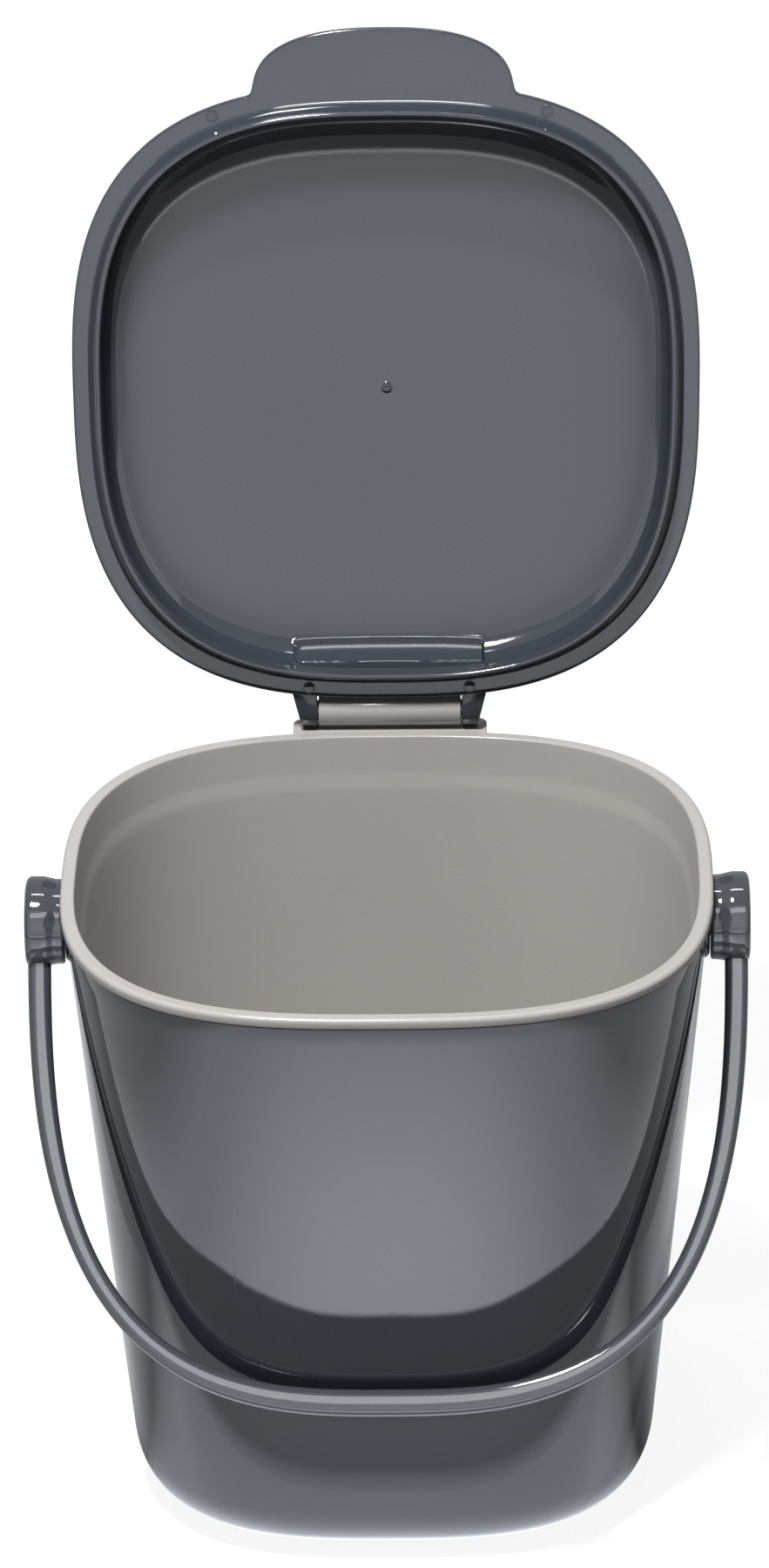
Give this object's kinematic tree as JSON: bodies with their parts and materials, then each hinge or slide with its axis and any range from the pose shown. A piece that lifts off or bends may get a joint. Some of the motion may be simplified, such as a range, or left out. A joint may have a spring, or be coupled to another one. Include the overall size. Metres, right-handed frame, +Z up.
{
  "type": "compost caddy with hinged lid",
  "caption": "Rounded-square countertop compost caddy: dark outer shell, light inner bucket, domed lid on a rear hinge and a swinging bail handle.",
  "frame": {"origin": "middle of the resting plane under the body", "axes": "+Z up; +Y from the front, where the grip rests and the lid's thumb tab closes, to the hinge at the back; X along the hinge and the handle's pivots"},
  "size_m": [0.1924, 0.216, 0.3641],
  "materials": {
    "charcoal_plastic": "gloss, injection moulded",
    "light_grey_plastic": "semi-gloss, injection moulded",
    "charcoal_plastic_lid": "gloss, injection moulded",
    "charcoal_plastic_handle": "gloss, injection moulded"
  },
  "bodies": {
    "body": {"outer_shell": "charcoal_plastic", "inner_bucket": "light_grey_plastic"},
    "lid": {"lid": "charcoal_plastic_lid"},
    "handle": {"handle": "charcoal_plastic_handle"}
  },
  "joints": [
    {"name": "lid_hinge", "type": "hinge", "parent": "body", "child": "lid", "pos_m": [0, 0.08901, 0.178], "axis": [1, 0, 0], "range_deg": [0, 102]},
    {"name": "handle_swing", "type": "hinge", "parent": "body", "child": "handle", "pos_m": [0, 0, 0.1585], "axis": [-1, 0, 0], "range_deg": [0, 193]}
  ]
}
